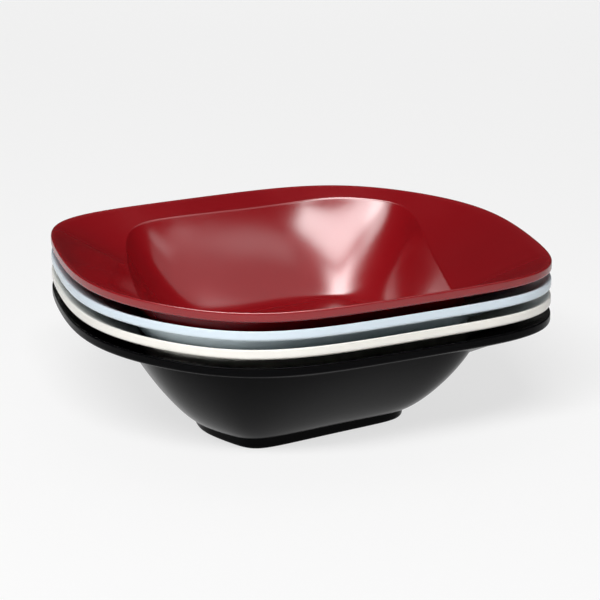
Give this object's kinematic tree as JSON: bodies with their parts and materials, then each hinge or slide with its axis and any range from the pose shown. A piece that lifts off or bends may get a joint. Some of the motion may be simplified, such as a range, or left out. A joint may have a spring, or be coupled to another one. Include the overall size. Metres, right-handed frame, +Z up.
{
  "type": "nest of oval bowls",
  "caption": "Nest of oval melamine bowls with broad inward-sloping rims, deep curved wells and low foot rings; each bowl lifts off the one below it.",
  "frame": {"origin": "middle of the lowest bowl's foot ring, on the surface that it stands on", "axes": "+Z up, the way the bowls lift off one another; +X along the rim's longer extent"},
  "size_m": [0.227, 0.2072, 0.0798],
  "materials": {
    "black_melamine": "glossy moulded melamine, black",
    "ivory_melamine": "glossy moulded melamine, ivory",
    "pale_blue_melamine": "glossy moulded melamine, pale blue",
    "red_melamine": "glossy moulded melamine, deep red"
  },
  "bodies": {
    "black_bowl": {"black_bowl": "black_melamine"},
    "ivory_bowl": {"ivory_bowl": "ivory_melamine"},
    "pale_blue_bowl": {"pale_blue_bowl": "pale_blue_melamine"},
    "red_bowl": {"red_bowl": "red_melamine"}
  },
  "joints": [
    {"name": "ivory_lift", "type": "slide", "parent": "black_bowl", "child": "ivory_bowl", "axis": [0, 0, 1], "range_m": [0, 0.06]},
    {"name": "pale_blue_lift", "type": "slide", "parent": "ivory_bowl", "child": "pale_blue_bowl", "axis": [0, 0, 1], "range_m": [0, 0.06]},
    {"name": "red_lift", "type": "slide", "parent": "pale_blue_bowl", "child": "red_bowl", "axis": [0, 0, 1], "range_m": [0, 0.06]}
  ]
}
